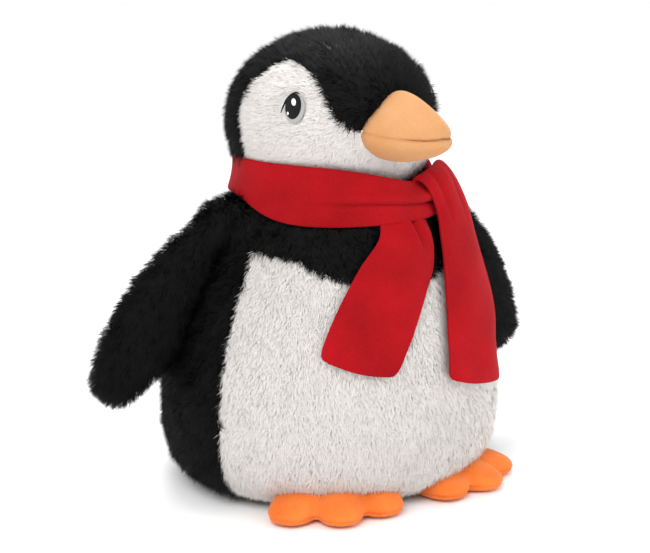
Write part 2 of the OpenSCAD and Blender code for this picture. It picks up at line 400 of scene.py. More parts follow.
def felt_effect():
    """Mottled colour and the height of a fine felted or brushed surface: the broad mottling is random tone, and
    the fine noise that raises the bumps also darkens their dips, as painted shade.
    """
    g, gin, gout = group("felt", [("Dark", "NodeSocketColor", (0, 0, 0, 1)),
                                  ("Light", "NodeSocketColor", (1, 1, 1, 1)),
                                  ("Patch", "NodeSocketFloat", 35.0),
                                  ("Fine", "NodeSocketFloat", 900.0),
                                  ("Depth", "NodeSocketFloat", 0.35)],
                         [("Color", "NodeSocketColor"), ("Height", "NodeSocketFloat")])
    n, l = g.nodes, g.links
    co = n.new("ShaderNodeTexCoord")
    big = n.new("ShaderNodeTexNoise")
    big.inputs["Detail"].default_value = 6
    fine = n.new("ShaderNodeTexNoise")
    fine.inputs["Detail"].default_value = 3
    for t, scale in ((big, "Patch"), (fine, "Fine")):
        l.new(co.outputs["Object"], t.inputs["Vector"])
        l.new(gin.outputs[scale], t.inputs["Scale"])
    # the fine bumps go into the colour too: painted shade in their dips, added to the random mottling
    both = n.new("ShaderNodeMath")
    both.operation = "MULTIPLY_ADD"
    l.new(fine.outputs["Fac"], both.inputs[0])
    l.new(gin.outputs["Depth"], both.inputs[1])
    l.new(big.outputs["Fac"], both.inputs[2])
    span = n.new("ShaderNodeMapRange")
    span.inputs["From Min"].default_value = 0.4
    span.inputs["From Max"].default_value = 0.9
    l.new(both.outputs[0], span.inputs["Value"])
    mix = n.new("ShaderNodeMix")
    mix.data_type = "RGBA"
    l.new(span.outputs["Result"], mix.inputs["Factor"])
    l.new(gin.outputs["Dark"], mix.inputs["A"])
    l.new(gin.outputs["Light"], mix.inputs["B"])
    l.new(mix.outputs["Result"], gout.inputs["Color"])
    l.new(fine.outputs["Fac"], gout.inputs["Height"])
    return g


FELT = felt_effect()


def cloth_finish(name, dark, light, rough=0.85, size=900.0, depth=0.35, sheen=0.3, tint=(1, 1, 1), patch=35.0,
                 bump=0.0006):
    """Backing cloth, brushed knit or short nap."""
    m, n, l, bsdf = new_material(name)
    g = n.new("ShaderNodeGroup")
    g.node_tree = FELT
    g.inputs["Dark"].default_value = (*dark, 1)
    g.inputs["Light"].default_value = (*light, 1)
    g.inputs["Patch"].default_value = patch
    g.inputs["Fine"].default_value = size
    g.inputs["Depth"].default_value = depth
    l.new(g.outputs["Color"], bsdf.inputs["Base Color"])
    b = n.new("ShaderNodeBump")
    b.inputs["Strength"].default_value = 0.6
    b.inputs["Distance"].default_value = bump
    l.new(g.outputs["Height"], b.inputs["Height"])
    l.new(b.outputs["Normal"], bsdf.inputs["Normal"])
    bsdf.inputs["Roughness"].default_value = rough
    bsdf.inputs["Specular IOR Level"].default_value = 0.12
    bsdf.inputs["Sheen Weight"].default_value = sheen
    bsdf.inputs["Sheen Roughness"].default_value = 0.45
    bsdf.inputs["Sheen Tint"].default_value = (*tint, 1)
    return m


def thread_effect():
    """Colour and height of satin stitch: fine ridges of thread along the piece's own length, with painted
    shade: the colour is darker where the ridges dip.
    """
    g, gin, gout = group("satin stitch", [("Lay", "NodeSocketVector", None),
                                          ("Dark", "NodeSocketColor", (0, 0, 0, 1)),
                                          ("Light", "NodeSocketColor", (1, 1, 1, 1)),
                                          ("Ridges", "NodeSocketFloat", 3.2)],
                         [("Color", "NodeSocketColor"), ("Height", "NodeSocketFloat")])
    n, l = g.nodes, g.links
    ridge = n.new("ShaderNodeTexWave")
    ridge.inputs["Distortion"].default_value = 1.2
    l.new(gin.outputs["Lay"], ridge.inputs["Vector"])
    l.new(gin.outputs["Ridges"], ridge.inputs["Scale"])
    mix = n.new("ShaderNodeMix")
    # the ridges' height also sets the colour: the darker hollows between threads are painted shade
    mix.data_type = "RGBA"
    l.new(ridge.outputs["Fac"], mix.inputs["Factor"])
    l.new(gin.outputs["Dark"], mix.inputs["A"])
    l.new(gin.outputs["Light"], mix.inputs["B"])
    l.new(mix.outputs["Result"], gout.inputs["Color"])
    l.new(ridge.outputs["Fac"], gout.inputs["Height"])
    return g


THREAD = thread_effect()


def thread_finish(name, dark, light, gloss):
    """Embroidery and sewing thread."""
    m, n, l, bsdf = new_material(name)
    lay = n.new("ShaderNodeAttribute")
    lay.attribute_name = "lay"
    g = n.new("ShaderNodeGroup")
    g.node_tree = THREAD
    g.inputs["Dark"].default_value = (*dark, 1)
    g.inputs["Light"].default_value = (*light, 1)
    l.new(lay.outputs["Vector"], g.inputs["Lay"])
    l.new(g.outputs["Color"], bsdf.inputs["Base Color"])
    b = n.new("ShaderNodeBump")
    b.inputs["Strength"].default_value = 0.5
    b.inputs["Distance"].default_value = 0.0003
    l.new(g.outputs["Height"], b.inputs["Height"])
    l.new(b.outputs["Normal"], bsdf.inputs["Normal"])
    bsdf.inputs["Roughness"].default_value = gloss
    bsdf.inputs["Specular IOR Level"].default_value = 0.2
    return m


# each pile's root colour is darker than its tip colour: the darker root is painted shade down in the pile
black_pile = pile_finish("black pile", (0.0012, 0.0012, 0.0014), (0.0062, 0.0062, 0.0068), 0.62, 0.5)
white_pile = pile_finish("white pile", (0.74, 0.70, 0.66), (0.91, 0.88, 0.85), 0.85, 0.06)
# cloth colours run dark to light with random mottling and with painted shade in the fine dips of the bump
black_back = cloth_finish("black backing", (0.001, 0.001, 0.0012), (0.003, 0.003, 0.0033), sheen=0.0)
white_back = cloth_finish("white backing", (0.8, 0.77, 0.74), (0.9, 0.88, 0.86), sheen=0.0)
orange_nap = cloth_finish("orange short nap", (0.66, 0.125, 0.018), (0.86, 0.215, 0.042), sheen=0.25,
                          tint=(1, 0.7, 0.45), patch=45.0)
beak_nap = cloth_finish("beak short nap", (0.475, 0.215, 0.08), (0.55, 0.295, 0.135), sheen=0.16,
                        tint=(1, 0.85, 0.65))
red_velour = cloth_finish("red velour", (0.215, 0.0008, 0.0028), (0.37, 0.0025, 0.0075), sheen=0.14,
                          tint=(1, 0.08, 0.1), patch=28.0)
# thread colours: the dark value fills the hollows between threads as painted shade, the light value the ridge
# tops
black_thread = thread_finish("black thread", (0.0015, 0.0015, 0.002), (0.006, 0.006, 0.007), 0.5)
grey_thread = thread_finish("grey thread", (0.3, 0.3, 0.3), (0.5, 0.49, 0.48), 0.4)
white_thread = thread_finish("white thread", (0.8, 0.8, 0.8), (0.98, 0.98, 0.97), 0.35)
seam_thread = cloth_finish("orange seam thread", (0.5, 0.12, 0.02), (0.75, 0.22, 0.05), rough=0.6, size=2500)
fibre = cloth_finish("white fibre filling", (0.7, 0.7, 0.68), (0.92, 0.92, 0.9), size=400.0)
dark_fibre = cloth_finish("dark fibre filling", (0.005, 0.005, 0.005), (0.014, 0.014, 0.014), size=400.0)
bag_cloth = cloth_finish("pellet bag cloth", (0.5, 0.47, 0.4), (0.7, 0.67, 0.6), size=1200.0)


# ---------------------------------------------------------------- body
def around(p):
    """Angle from the front, to the penguin's left."""
    return np.arctan2(p[:, 0], -p[:, 1] / DEPTH)


def belly_top(p):
    """Height of the seam between belly and chest, low in the middle."""
    return np.interp(np.abs(p[:, 0]) / MM, [0, 16, 36, 49, 66, 120], [124, 125, 132, 140, 144, 150]) * MM


def in_front(p):
    return np.abs(around(p)) < SEAM


def is_base(p):
    return p[:, 2] < BASE_TOP


def is_belly(p):
    return in_front(p) & (p[:, 2] < belly_top(p)) & ~is_base(p)


def is_chest(p):
    return in_front(p) & (p[:, 2] >= belly_top(p))


def is_back(side):
    return lambda p: ~in_front(p) & (p[:, 0] * side >= 0) & ~is_base(p)


def down(p, n):
    return np.tile([0.0, 0.0, -1.0], (len(p), 1))


def out_low(p, n):
    """Outwards along the ground."""
    return p * np.array([1.0, 1.0, 0.0]) + np.array([0.0, 0.0, 0.004])


torso = copy_of("torso form", ["torso_stuffing", "belly_panel", "chest_panel", "back_panel_left",
                               "back_panel_right", "base_panel", "pellet_bag"])
add_ball(torso, (0, 0, 0.160), (0.0575, 0.0525, 0.0155))
for side in (1, -1):
    add_ball(torso, (side * 0.060, 0.002, 0.1565), (0.0165, 0.0165, 0.0150))
stuff(torso, 0.006, 0.004, smooth=3, shrink=0.0015)


def keep_over(form, nodes, gap, chosen):
    """Moves a form's skin out over the filling where the filling would show."""
    was = points(form)
    for node in nodes:
        apply(form, "SHRINKWRAP", target=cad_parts[node], wrap_method="NEAREST_SURFACEPOINT",
              wrap_mode="OUTSIDE", offset=gap)
    place(form, np.where(chosen(was)[:, None], points(form), was))


keep_over(torso, ("torso_stuffing", "neck_stuffing"), 0.0012, lambda p: (p[:, 2] > 0.14) & (p[:, 1] > -0.01))


def off_floor(obj, height):
    co = points(obj)
    co[:, 2] = np.maximum(co[:, 2], height)
    place(obj, co)


off_floor(torso, 0.0)


def low_ground(p):
    """The pile is short where the body meets the ground and under the scarf."""
    z = p[:, 2]
    return np.clip((z - 0.0005) / 0.007, 0, 1) * np.clip((0.181 - z) / 0.008, 0, 1)


for side, end in ((1, "left"), (-1, "right")):
    name = "back_" + end
    panel(name, torso, is_back(side), "torso", "black_plush", black_back, "back_panel_" + end)
    for part, cut in (("upper", lambda p: p[:, 2] >= 0.085), ("lower", lambda p: p[:, 2] < 0.085)):
        grow(name + "_pile_" + part, torso, lambda p, s=side, c=cut: is_back(s)(p) & c(p), "torso",
             black_pile, 3.2, 8.0, down, lean=47, seed=20 + side + len(part),
             trim=low_ground, stray=0.24)
panel("belly", torso, is_belly, "torso", "white_plush", white_back, "belly_panel")
for part, cut in (("upper", lambda p: p[:, 2] >= 0.075), ("lower", lambda p: p[:, 2] < 0.075)):
    grow("belly_pile_" + part, torso, lambda p, c=cut: is_belly(p) & c(p), "torso",
         white_pile, 4.6, 6.2, down, lean=60, width=0.3, seed=30 + len(part), tuft=2.4,
         trim=low_ground, wander=0.35)
panel("chest", torso, is_chest, "torso", "black_plush", black_back, "chest_panel")
grow("chest_pile", torso, is_chest, "torso", black_pile, 3.6, 7.5, down, seed=37,
     trim=low_ground)
panel("base", torso, is_base, "torso", "black_plush", black_back, "base_panel")
grow("base_pile", torso, lambda p: is_base(p) & (p[:, 2] > 0.0008), "torso", black_pile,
     4.2, 6.0, out_low, lean=64, seed=39, stray=0.2)

# ---------------------------------------------------------------- head
bpy.ops.object.select_all(action="DESELECT")
bpy.ops.mesh.primitive_uv_sphere_add(segments=48, ring_count=32, radius=1.0, location=(0, 0, 0))
head = bpy.context.object
head.name = head.data.name = "head form"
hp = points(head) * np.array([0.0575, 0.0575, 0.0447])
hp[:, 2] = np.maximum(np.where(hp[:, 2] < 0, hp[:, 2] * 1.30, hp[:, 2]) + HEAD_Z, 0.1665)
place(head, hp)
stuff(head, 0.005, 0.003, smooth=0)
keep_over(head, ("head_stuffing", "neck_stuffing"), 0.0012, lambda p: p[:, 1] > -0.005)


def crown_half(q):
    """Half the crown's width: it narrows to a point at each corner of the mouth."""
    return np.interp(q[:, 2], [0.209, 0.2115, 0.2150, 0.2210], [0.0235, 0.0275, 0.0330, 0.0358])


def is_low_front(q):
    return (q[:, 1] < 0.0085) & (q[:, 2] < MOUTH_Z)


def is_face(p):
    q = to_head(p)
    lobe = np.hypot(q[:, 1] + 0.020, q[:, 2] - 0.217) < 0.0295
    drop = (q[:, 1] < 0.0085) & (q[:, 2] < 0.217)
    return ((np.abs(q[:, 0]) > crown_half(q)) & (lobe | drop)) | is_low_front(q)


def is_crown(p):
    q = to_head(p)
    return (np.abs(q[:, 0]) <= crown_half(q)) & ~is_low_front(q)


def face_side(side):
    return lambda p: is_face(p) & (to_head(p)[:, 0] * side >= 0)


def head_back(side):
    return lambda p: ~is_face(p) & ~is_crown(p) & (p[:, 0] * side >= 0)


def head_nap(p, n):
    """Back from the beak over the crown, and down the cheeks and nape."""
    q = to_head(p) - np.array([0, 0, HEAD_Z])
    d = np.stack([np.zeros(len(q)), np.ones(len(q)) * 1.0, np.zeros(len(q))], 1)
    d[:, 2] -= 0.4 + 1.2 * np.clip(-q[:, 2] / 0.03, 0, 1) + 1.6 * np.clip(q[:, 1] / 0.05, 0, 1)
    d[:, 0] += 0.5 * np.sign(q[:, 0]) * np.clip(np.abs(q[:, 0]) / 0.05, 0, 1)
    return from_head(d)


def eye_spot(side):
    """Middle of an eye on the skin, and its outward direction."""
    a, e = EYE_AROUND * side, math.radians(14)
    d = np.array([[math.sin(a) * math.cos(e), -math.cos(a) * math.cos(e), math.sin(e)]])
    q = d * np.array([0.0585, 0.0585, 0.0460])
    q[:, 2] += HEAD_Z
    out = unit(q - np.array([0, 0, HEAD_Z])) * np.array([1, 1, 1.3])
    return from_head(q)[0], unit(from_head(out))[0]


EYES = {end: eye_spot(side) for side, end in ((1, "left"), (-1, "right"))}


def head_trim(p):
    """No pile under the beak or the embroidery, shorter beside them."""
    q = to_head(p)
    over = q[:, 2] > MOUTH_Z
    wide, tall = np.abs(q[:, 0]) / 0.0238, np.abs(q[:, 2] - MOUTH_Z) / np.where(over, 0.0185, 0.0155)
    beak = np.where(over, (wide ** 1.25 + tall ** 1.25) ** 0.8, np.hypot(wide, tall))
    out = np.where(q[:, 1] < 0, np.clip((beak - 0.93) * 3.5, 0, 1), 1.0)
    for spot, _ in EYES.values():
        gap = np.linalg.norm(p - spot, axis=1)
        out *= np.clip((gap - 0.0052) / 0.006, 0.0, 1)
    return out * np.clip((p[:, 2] - 0.168) / 0.004, 0, 1)


panel("crown", head, is_crown, "head", "black_plush", black_back, "crown_panel")
grow("crown_pile", head, is_crown, "head", black_pile, 3.8, 7.2, head_nap, lean=50, seed=41,
     trim=head_trim, stray=0.26)
for side, end in ((1, "left"), (-1, "right")):
    panel("nape_" + end, head, head_back(side), "head", "black_plush", black_back, "head_back_" + end)
    grow("nape_pile_" + end, head, head_back(side), "head", black_pile, 3.8, 7.2, head_nap,
         lean=50, seed=43 + side, trim=head_trim, stray=0.26)
    panel("cheek_" + end, head, face_side(side), "head", "white_plush", white_back, "face_panel_" + end)
    grow("cheek_pile_" + end, head, face_side(side), "head", white_pile, 5.4, 5.0, head_nap,
         lean=62, width=0.28, seed=47 + side, tuft=2.2, trim=head_trim, wander=0.35)

# ---------------------------------------------------------------- wings
for side, end in ((1, "left"), (-1, "right")):
    wing = copy_of("wing form " + end, ["wing_outer_" + end, "wing_inner_" + end, "wing_stuffing_" + end,
                                        "wing_root_" + end])
    add_ball(wing, (side * 0.071, 0.001, 0.156), (0.0125, 0.0118, 0.0125))
    stuff(wing, 0.004, 0.003, smooth=5)
    wing_down = np.array([side * 0.55, 0.16, -0.82])
    front = lambda p, s=side: p[:, 1] / DEPTH < math.tan(WING_BACK) * (p[:, 0] * s - 0.070)
    for part, half in (("outer", front), ("inner", lambda p, f=front: ~f(p))):
        name = f"wing_{part}_{end}"
        panel(name + "_cloth", wing, half, "wing_" + end, "black_plush", black_back, name)
        grow(name + "_pile", wing, half, "wing_" + end, black_pile, 3.6, 7.6,
             lambda p, n, d=wing_down: np.tile(d, (len(p), 1)), lean=50, seed=60 + side + len(part),
             stray=0.28)
    bpy.data.objects.remove(wing)

for form in (torso, head):
    bpy.data.objects.remove(form)


# ---------------------------------------------------------------- beak
def to_beak(p):
    """Points as the beak sees them, before it was tipped down and turned with the head."""
    q = to_head(p)
    y, z = q[:, 1] + 0.060, q[:, 2] - MOUTH_Z
    c, d = math.cos(BEAK_TILT), math.sin(BEAK_TILT)
    return np.stack([q[:, 0], y * c + z * d - 0.060, z * c - y * d + MOUTH_Z], 1)


def from_beak(q):
    y, z = q[:, 1] + 0.060, q[:, 2] - MOUTH_Z
    c, d = math.cos(BEAK_TILT), math.sin(BEAK_TILT)
    return from_head(np.stack([q[:, 0], y * c - z * d - 0.060, z * c + y * d + MOUTH_Z], 1))


def mouth(q):
    """Height of the mouth's line: it dips a little between its corner and the tip."""
    reach = np.clip((-q[:, 1] - 0.055) / 0.04, 0, 1)
    return MOUTH_Z - 0.0010 * np.sin(math.pi * reach) + 0.0012 * reach ** 2


bpy.ops.object.select_all(action="DESELECT")
bpy.ops.mesh.primitive_uv_sphere_add(segments=64, ring_count=48, radius=1.0, location=(0, 0, 0))
beak = bpy.context.object
beak.name = beak.data.name = "beak form"
p = points(beak)
reach = 44 + 50.5 * (1 - p[:, 1]) / 2
ring = np.maximum(np.hypot(p[:, 0], p[:, 2]), 1e-6)
wide = np.interp(reach, [44, 45, 48, 57, 66.5, 76, 83.8, 89.2, 92.8, 94.1, 94.5],
                 [0, 16, 22.5, 26.4, 24.6, 20.6, 15.8, 11.4, 7.0, 3.8, 0]) * MM
up, side_way = p[:, 2] / ring, p[:, 0] / ring
ridge = (np.abs(up) ** 1.2 + np.abs(side_way) ** 1.2) ** (-1 / 1.2)  # the upper half narrows to a ridge
wide = np.where(up > 0, wide * ridge, wide)
q = np.stack([side_way * wide, -reach * MM, MOUTH_Z + up * wide * np.where(up > 0, 0.84, 0.68)], 1)
place(beak, q)
apply(beak, "REMESH", mode="VOXEL", voxel_size=0.0017, use_smooth_shade=True)
apply(beak, "SMOOTH", factor=0.6, iterations=7)
apply(beak, "SUBSURF", levels=1, render_levels=1)
q, qn = points(beak), normals(beak)
reach = np.clip((-q[:, 1] - 0.055) / 0.04, 0, 1)
off = q[:, 2] - mouth(q)
tip_end = np.clip((reach - 0.5) / 0.3, 0, 1)
q -= qn * ((0.0008 + 0.0016 * tip_end) * np.exp(-(off / 0.0009) ** 2))[:, None]
q -= qn * ((0.0006 + 0.0010 * tip_end) * np.exp(-(off / 0.0034) ** 2))[:, None]
chin = np.exp(-((q[:, 0]) / 0.0008) ** 2) * (off < -0.002)
q -= qn * (0.0003 * chin)[:, None]
place(beak, from_beak(q))
panel("beak_top", beak, lambda p: to_beak(p)[:, 2] >= mouth(to_beak(p)), "head", "beak_plush", beak_nap,
      "beak_upper", "beak_stuffing")
panel("beak_under", beak, lambda p: to_beak(p)[:, 2] < mouth(to_beak(p)), "head", "beak_plush", beak_nap,
      "beak_lower")


def surface(form):
    """A quick way to find where a ray meets a form."""
    me = form.data
    return BVHTree.FromPolygons([v.co.copy() for v in me.vertices], [list(f.vertices) for f in me.polygons])


def sew(name, spots, along, up, size, body, mat, flat=0.55):
    """One stitch of thread at each spot, lying along its seam: one rounded bar, copied."""
    bpy.ops.object.select_all(action="DESELECT")
    bpy.ops.mesh.primitive_uv_sphere_add(segments=8, ring_count=6, radius=1.0, location=(0, 0, 0))
    one = bpy.context.object
    shape = points(one) * np.array(size) * np.array([1, 1, flat])
    faces = [list(f.vertices) for f in one.data.polygons]
    bpy.data.objects.remove(one)
    verts, polys = [], []
    for spot, a, u in zip(spots, unit(along), unit(up)):
        b = np.cross(u, a)
        polys += [[v + len(verts) * len(shape) for v in f] for f in faces]
        verts.append(spot + shape[:, :1] * a + shape[:, 1:2] * b + shape[:, 2:] * u)
    me = bpy.data.meshes.new(name)
    me.from_pydata(np.concatenate(verts).tolist(), [], polys)
    me.polygons.foreach_set("use_smooth", np.ones(len(me.polygons), bool))
    obj = bpy.data.objects.new(name, me)
    bpy.context.scene.collection.objects.link(obj)
    me.materials.append(mat)
    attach(obj, body)
    return obj


# the mouth's thread, on the beak's skin from each corner three quarters of the way to the tip
beak_skin = surface(beak)
line = []
for turn in np.radians(np.arange(-128, 129, 0.8)):
    d = np.array([[math.sin(turn), -math.cos(turn), 0.0]])
    start = np.array([[0.0, -0.066, MOUTH_Z - 0.0003]]) + d * 0.08
    ray = from_beak(np.concatenate([start, start - d]))
    hit, nor, _, _ = beak_skin.ray_cast(Vector(ray[0]), Vector(ray[1] - ray[0]))
    if hit is not None:
        line.append((np.array(hit), np.array(nor), -to_beak(np.array([hit]))[0, 1]))
spots, alongs, ups, gone = [], [], [], 0.0
for (h0, n0, far), (h1, _, _) in zip(line, line[1:]):
    gone += np.linalg.norm(h1 - h0)
    if gone >= 0.0019 and 0.054 < far < 0.087:
        gone = 0.0
        spots.append(h0)
        alongs.append(h1 - h0)
        ups.append(n0)
sew("beak_stitches", spots, np.array(alongs), np.array(ups), (0.00075, 0.00016, 0.00026), "head",
    seam_thread)
bpy.data.objects.remove(beak)


# ---------------------------------------------------------------- eyes
def oval(name, side, shift, half, lift, mat, tilt=0.0, dome=0.0009):
    """A patch of satin stitch on the face: an oval dome, shifted across and up from the eye's middle."""
    bpy.ops.object.select_all(action="DESELECT")
    bpy.ops.mesh.primitive_uv_sphere_add(segments=40, ring_count=20, radius=1.0, location=(0, 0, 0))
    obj = bpy.context.object
    obj.name = obj.data.name = name
    p = points(obj)
    lay = obj.data.attributes.new("lay", "FLOAT_VECTOR", "POINT")
    lay.data.foreach_set("vector", (p * np.array([half[0], half[1], 0.0]) / 0.001).astype(np.float32).ravel())
    spot, out = EYES["left" if side > 0 else "right"]
    across = unit(np.cross([[0.0, 0.0, 1.0]], [out]))[0]
    up = np.cross(out, across)
    u = p[:, 0] * half[0] * math.cos(tilt) - p[:, 1] * half[1] * math.sin(tilt) + shift[0] * side
    v = p[:, 0] * half[0] * math.sin(tilt) + p[:, 1] * half[1] * math.cos(tilt) + shift[1]
    sag = -(u ** 2 / 0.118 + v ** 2 / 0.1)
    place(obj, spot + u[:, None] * across + v[:, None] * up + (sag + lift + p[:, 2] * dome)[:, None] * out)
    obj.data.materials.append(mat)
    bpy.ops.object.shade_smooth()
    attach(obj, "head")
    return obj


def curve_thread(name, side, path, half, lift, mat):
    """A raised line of thread on the face through these points, tapered at both ends."""
    bpy.ops.object.select_all(action="DESELECT")
    bpy.ops.mesh.primitive_cylinder_add(vertices=12, radius=1.0, depth=1.0, end_fill_type="TRIFAN",
                                        location=(0, 0, 0))
    obj = bpy.context.object
    obj.name = obj.data.name = name
    bpy.ops.object.mode_set(mode="EDIT")
    bpy.ops.mesh.select_all(action="SELECT")
    bpy.ops.mesh.subdivide(number_cuts=18)
    bpy.ops.object.mode_set(mode="OBJECT")
    p = points(obj) + np.array([0, 0, 0.5])
    lay = obj.data.attributes.new("lay", "FLOAT_VECTOR", "POINT")
    lay.data.foreach_set("vector", (p[:, [2, 0, 1]] * np.array([12, 0.5, 0.5])).astype(np.float32).ravel())
    t = np.clip(p[:, 2], 0, 1)
    path = np.array(path) * MM
    at = np.linspace(0, 1, len(path))
    x = np.interp(t, at, path[:, 0])
    y = np.interp(t, at, path[:, 1])
    near = np.clip(t + 0.02, 0, 1)
    dx, dy = np.interp(near, at, path[:, 0]) - np.interp(near - 0.04, at, path[:, 0]), \
        np.interp(near, at, path[:, 1]) - np.interp(near - 0.04, at, path[:, 1])
    long = np.maximum(np.hypot(dx, dy), 1e-9)
    thick = half * MM * np.sqrt(np.clip(1 - (2 * t - 1) ** 4, 0.02, 1))
    u = (x - dy / long * p[:, 0] * thick) * side
    v = y + dx / long * p[:, 0] * thick
    spot, out = EYES["left" if side > 0 else "right"]
    across = unit(np.cross([[0.0, 0.0, 1.0]], [out]))[0]
    up = np.cross(out, across)
    sag = -(u ** 2 / 0.118 + v ** 2 / 0.1)
    place(obj, spot + u[:, None] * across + v[:, None] * up + (sag + lift + p[:, 1] * 0.0005)[:, None] * out)
    pick(obj)
    bpy.ops.object.mode_set(mode="EDIT")
    bpy.ops.mesh.select_all(action="SELECT")
    bpy.ops.mesh.normals_make_consistent(inside=False)
    bpy.ops.object.mode_set(mode="OBJECT")
    obj.data.materials.append(mat)
    bpy.ops.object.shade_smooth()
    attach(obj, "head")
    return obj


for side, end in ((1, "left"), (-1, "right")):
    ring = oval("eye_ring_" + end, side, (-0.0004, -0.0008), (0.0058, 0.0079), 0.0012, grey_thread)
    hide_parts("eye_" + end)
    oval("eye_ball_" + end, side, (0.0002, 0.0003), (0.0046, 0.0070), 0.0019, black_thread, dome=0.0012)
    oval("eye_light_" + end, side, (-0.0003, 0.0024), (0.0013, 0.0021), 0.0029, white_thread, tilt=-0.25 * side,
         dome=0.0005)
    oval("eye_spark_" + end, side, (0.0025, -0.0034), (0.0009, 0.0013), 0.0023, white_thread, dome=0.0005)
    curve_thread("eye_lash_" + end, side, [(7.2, -3.6), (5.6, 0.8), (4.3, 3.9), (2.0, 6.6), (-0.6, 7.9),
                                           (-2.8, 7.2)], 0.55, 0.0021, black_thread)

# ---------------------------------------------------------------- feet
TOES = ((46.5, 41, 97), (30, 30, 98), (15, 19, 88))  # a toe's tip, its root, its reach, as in the frame
FOOT_TURN = 5
SEAM_UP = 0.0040


def toe_spot(turn, far, side):
    a = math.radians(turn * side + FOOT_TURN)
    return np.array([far * math.sin(a) * MM, -far * math.cos(a) * MM * DEPTH, 0.0])


for side, end in ((1, "left"), (-1, "right")):
    nodes = ["foot_upper_" + end, "foot_sole_" + end, "foot_stuffing_" + end]
    lobes = None
    for turn, root, far in TOES:
        a, b = toe_spot(root, 66, side), toe_spot(turn, far + 2.2, side)
        lay = b - a
        lay /= np.linalg.norm(lay)
        across = np.array([-lay[1], lay[0], 0.0])
        bpy.ops.object.select_all(action="DESELECT")
        bpy.ops.mesh.primitive_uv_sphere_add(segments=40, ring_count=24, radius=1.0, location=(0, 0, 0))
        lobe = bpy.context.object
        p = points(lobe)
        ends = np.clip(np.abs(p[:, 0]), 0, 1)
        round_off = (1 - ends ** 2.6) ** (1 / 2.6)  # blunt petal seen from above
        flank = np.hypot(p[:, 1], p[:, 2])
        cy, cz = p[:, 1] / np.maximum(flank, 1e-6), p[:, 2] / np.maximum(flank, 1e-6)
        full = 1 / np.maximum((np.abs(cy) ** 2.5 + np.abs(cz) ** 2.5) ** (1 / 2.5), 1e-6)
        t = (p[:, 0] + 1) / 2
        mid, half_long = (a + b) / 2, np.linalg.norm(b - a) / 2 + 0.0125
        co = mid + (p[:, 0] * half_long)[:, None] * lay
        co += (cy * full * round_off * (0.0136 + 0.0013 * t))[:, None] * across
        tall = 0.0212 - 0.0100 * np.clip(t - 0.2, 0, 1) / 0.8
        co[:, 2] = 0.0045 + cz * full * round_off * np.where(cz > 0, tall - 0.0045, 0.0052)
        place(lobe, co)
        if lobes is None:
            lobes = lobe
        else:
            lobes.select_set(True)
            bpy.context.view_layer.objects.active = lobes
            bpy.ops.object.join()
            lobes = bpy.context.object
    foot = lobes
    foot.name = foot.data.name = "foot form " + end
    stuff(foot, 0.0017, 0.0009, pressure=2.0, smooth=2)
    co = points(foot)
    nor = normals(foot)
    co[:, 2] = np.where(co[:, 2] < 0.0006, 0.0006 + (co[:, 2] - 0.0006) * 0.08, co[:, 2])
    far = np.hypot(co[:, 0], co[:, 1] / DEPTH)
    rim = np.clip((far - 0.080) / 0.006, 0, 1)
    co -= nor * (0.0009 * rim * np.exp(-((co[:, 2] - SEAM_UP) / 0.0008) ** 2))[:, None]
    place(foot, co)
    off_floor(foot, 0.0)
    skin = surface(foot)
    heart = (toe_spot(29, 72, side))
    line = []
    for a in np.radians(np.arange(-125, 126, 0.6) + 29 * side + FOOT_TURN):
        d = Vector((math.sin(a), -math.cos(a), 0.0))
        start = Vector((heart[0], heart[1], SEAM_UP)) + d * 0.08
        hit, nor_at, _, _ = skin.ray_cast(start, -d)
        if hit is not None and math.hypot(hit.x, hit.y / DEPTH) > 0.086:
            line.append((np.array(hit), np.array(nor_at)))
    spots, alongs, ups, gone = [], [], [], 0.0
    for (h0, n0), (h1, _) in zip(line, line[1:]):
        step = np.linalg.norm(h1 - h0)
        gone = 0.0 if step > 0.006 else gone + step
        if gone >= 0.0027:
            gone = 0.0
            spots.append(h0 - n0 * 0.0001)
            alongs.append(h1 - h0)
            ups.append(n0)
    upper = panel("foot_top_" + end, foot, lambda p: p[:, 2] >= SEAM_UP, "foot_" + end, "orange_plush",
                  orange_nap, nodes[0], nodes[2])
    panel("foot_under_" + end, foot, lambda p: p[:, 2] < SEAM_UP, "foot_" + end, "orange_plush",
          orange_nap, nodes[1])
    sew("foot_stitches_" + end, spots, np.array(alongs), np.array(ups), (0.00085, 0.00025, 0.00042),
        "foot_" + end, seam_thread)
    bpy.data.objects.remove(foot)


# ---------------------------------------------------------------- scarf
def body_r(a, z):
    """Radius of the body's skin at an angle from the front and a height, both in the frame's units."""
    r = np.interp(z / MM, [0, 4, 12, 25, 45, 70, 100, 130, 150, 164, 180],
                  [66, 79, 92, 98, 100, 98, 90, 77, 66, 57.5, 48]) * MM
    return r / np.sqrt(np.sin(a) ** 2 + (np.cos(a) / DEPTH) ** 2)


def smooth_rows(t, rows):
    """Values at t, 0 to 1, on a smooth curve through the rows."""
    rows = np.array(rows, float)
    at = t * (len(rows) - 1)
    i = np.clip(at.astype(int), 0, len(rows) - 2)
    f = (at - i)[:, None]
    p0, p1 = rows[np.maximum(i - 1, 0)], rows[i]
    p2, p3 = rows[i + 1], rows[np.minimum(i + 2, len(rows) - 1)]
    return 0.5 * (2 * p1 + (p2 - p0) * f + (2 * p0 - 5 * p1 + 4 * p2 - p3) * f ** 2
                  + (3 * p1 - p0 - 3 * p2 + p3) * f ** 3)


def ring_at(a, r, z):
    return np.stack([np.sin(a) * r, -np.cos(a) * r, z], 1)


def cloth_grid(name, across, along):
    bpy.ops.object.select_all(action="DESELECT")
    bpy.ops.mesh.primitive_grid_add(x_subdivisions=across, y_subdivisions=along, size=1.0, location=(0, 0, 0))
    obj = bpy.context.object
    obj.name = obj.data.name = name
    p = points(obj)
    return obj, p[:, 0] + 0.5, p[:, 1] + 0.5


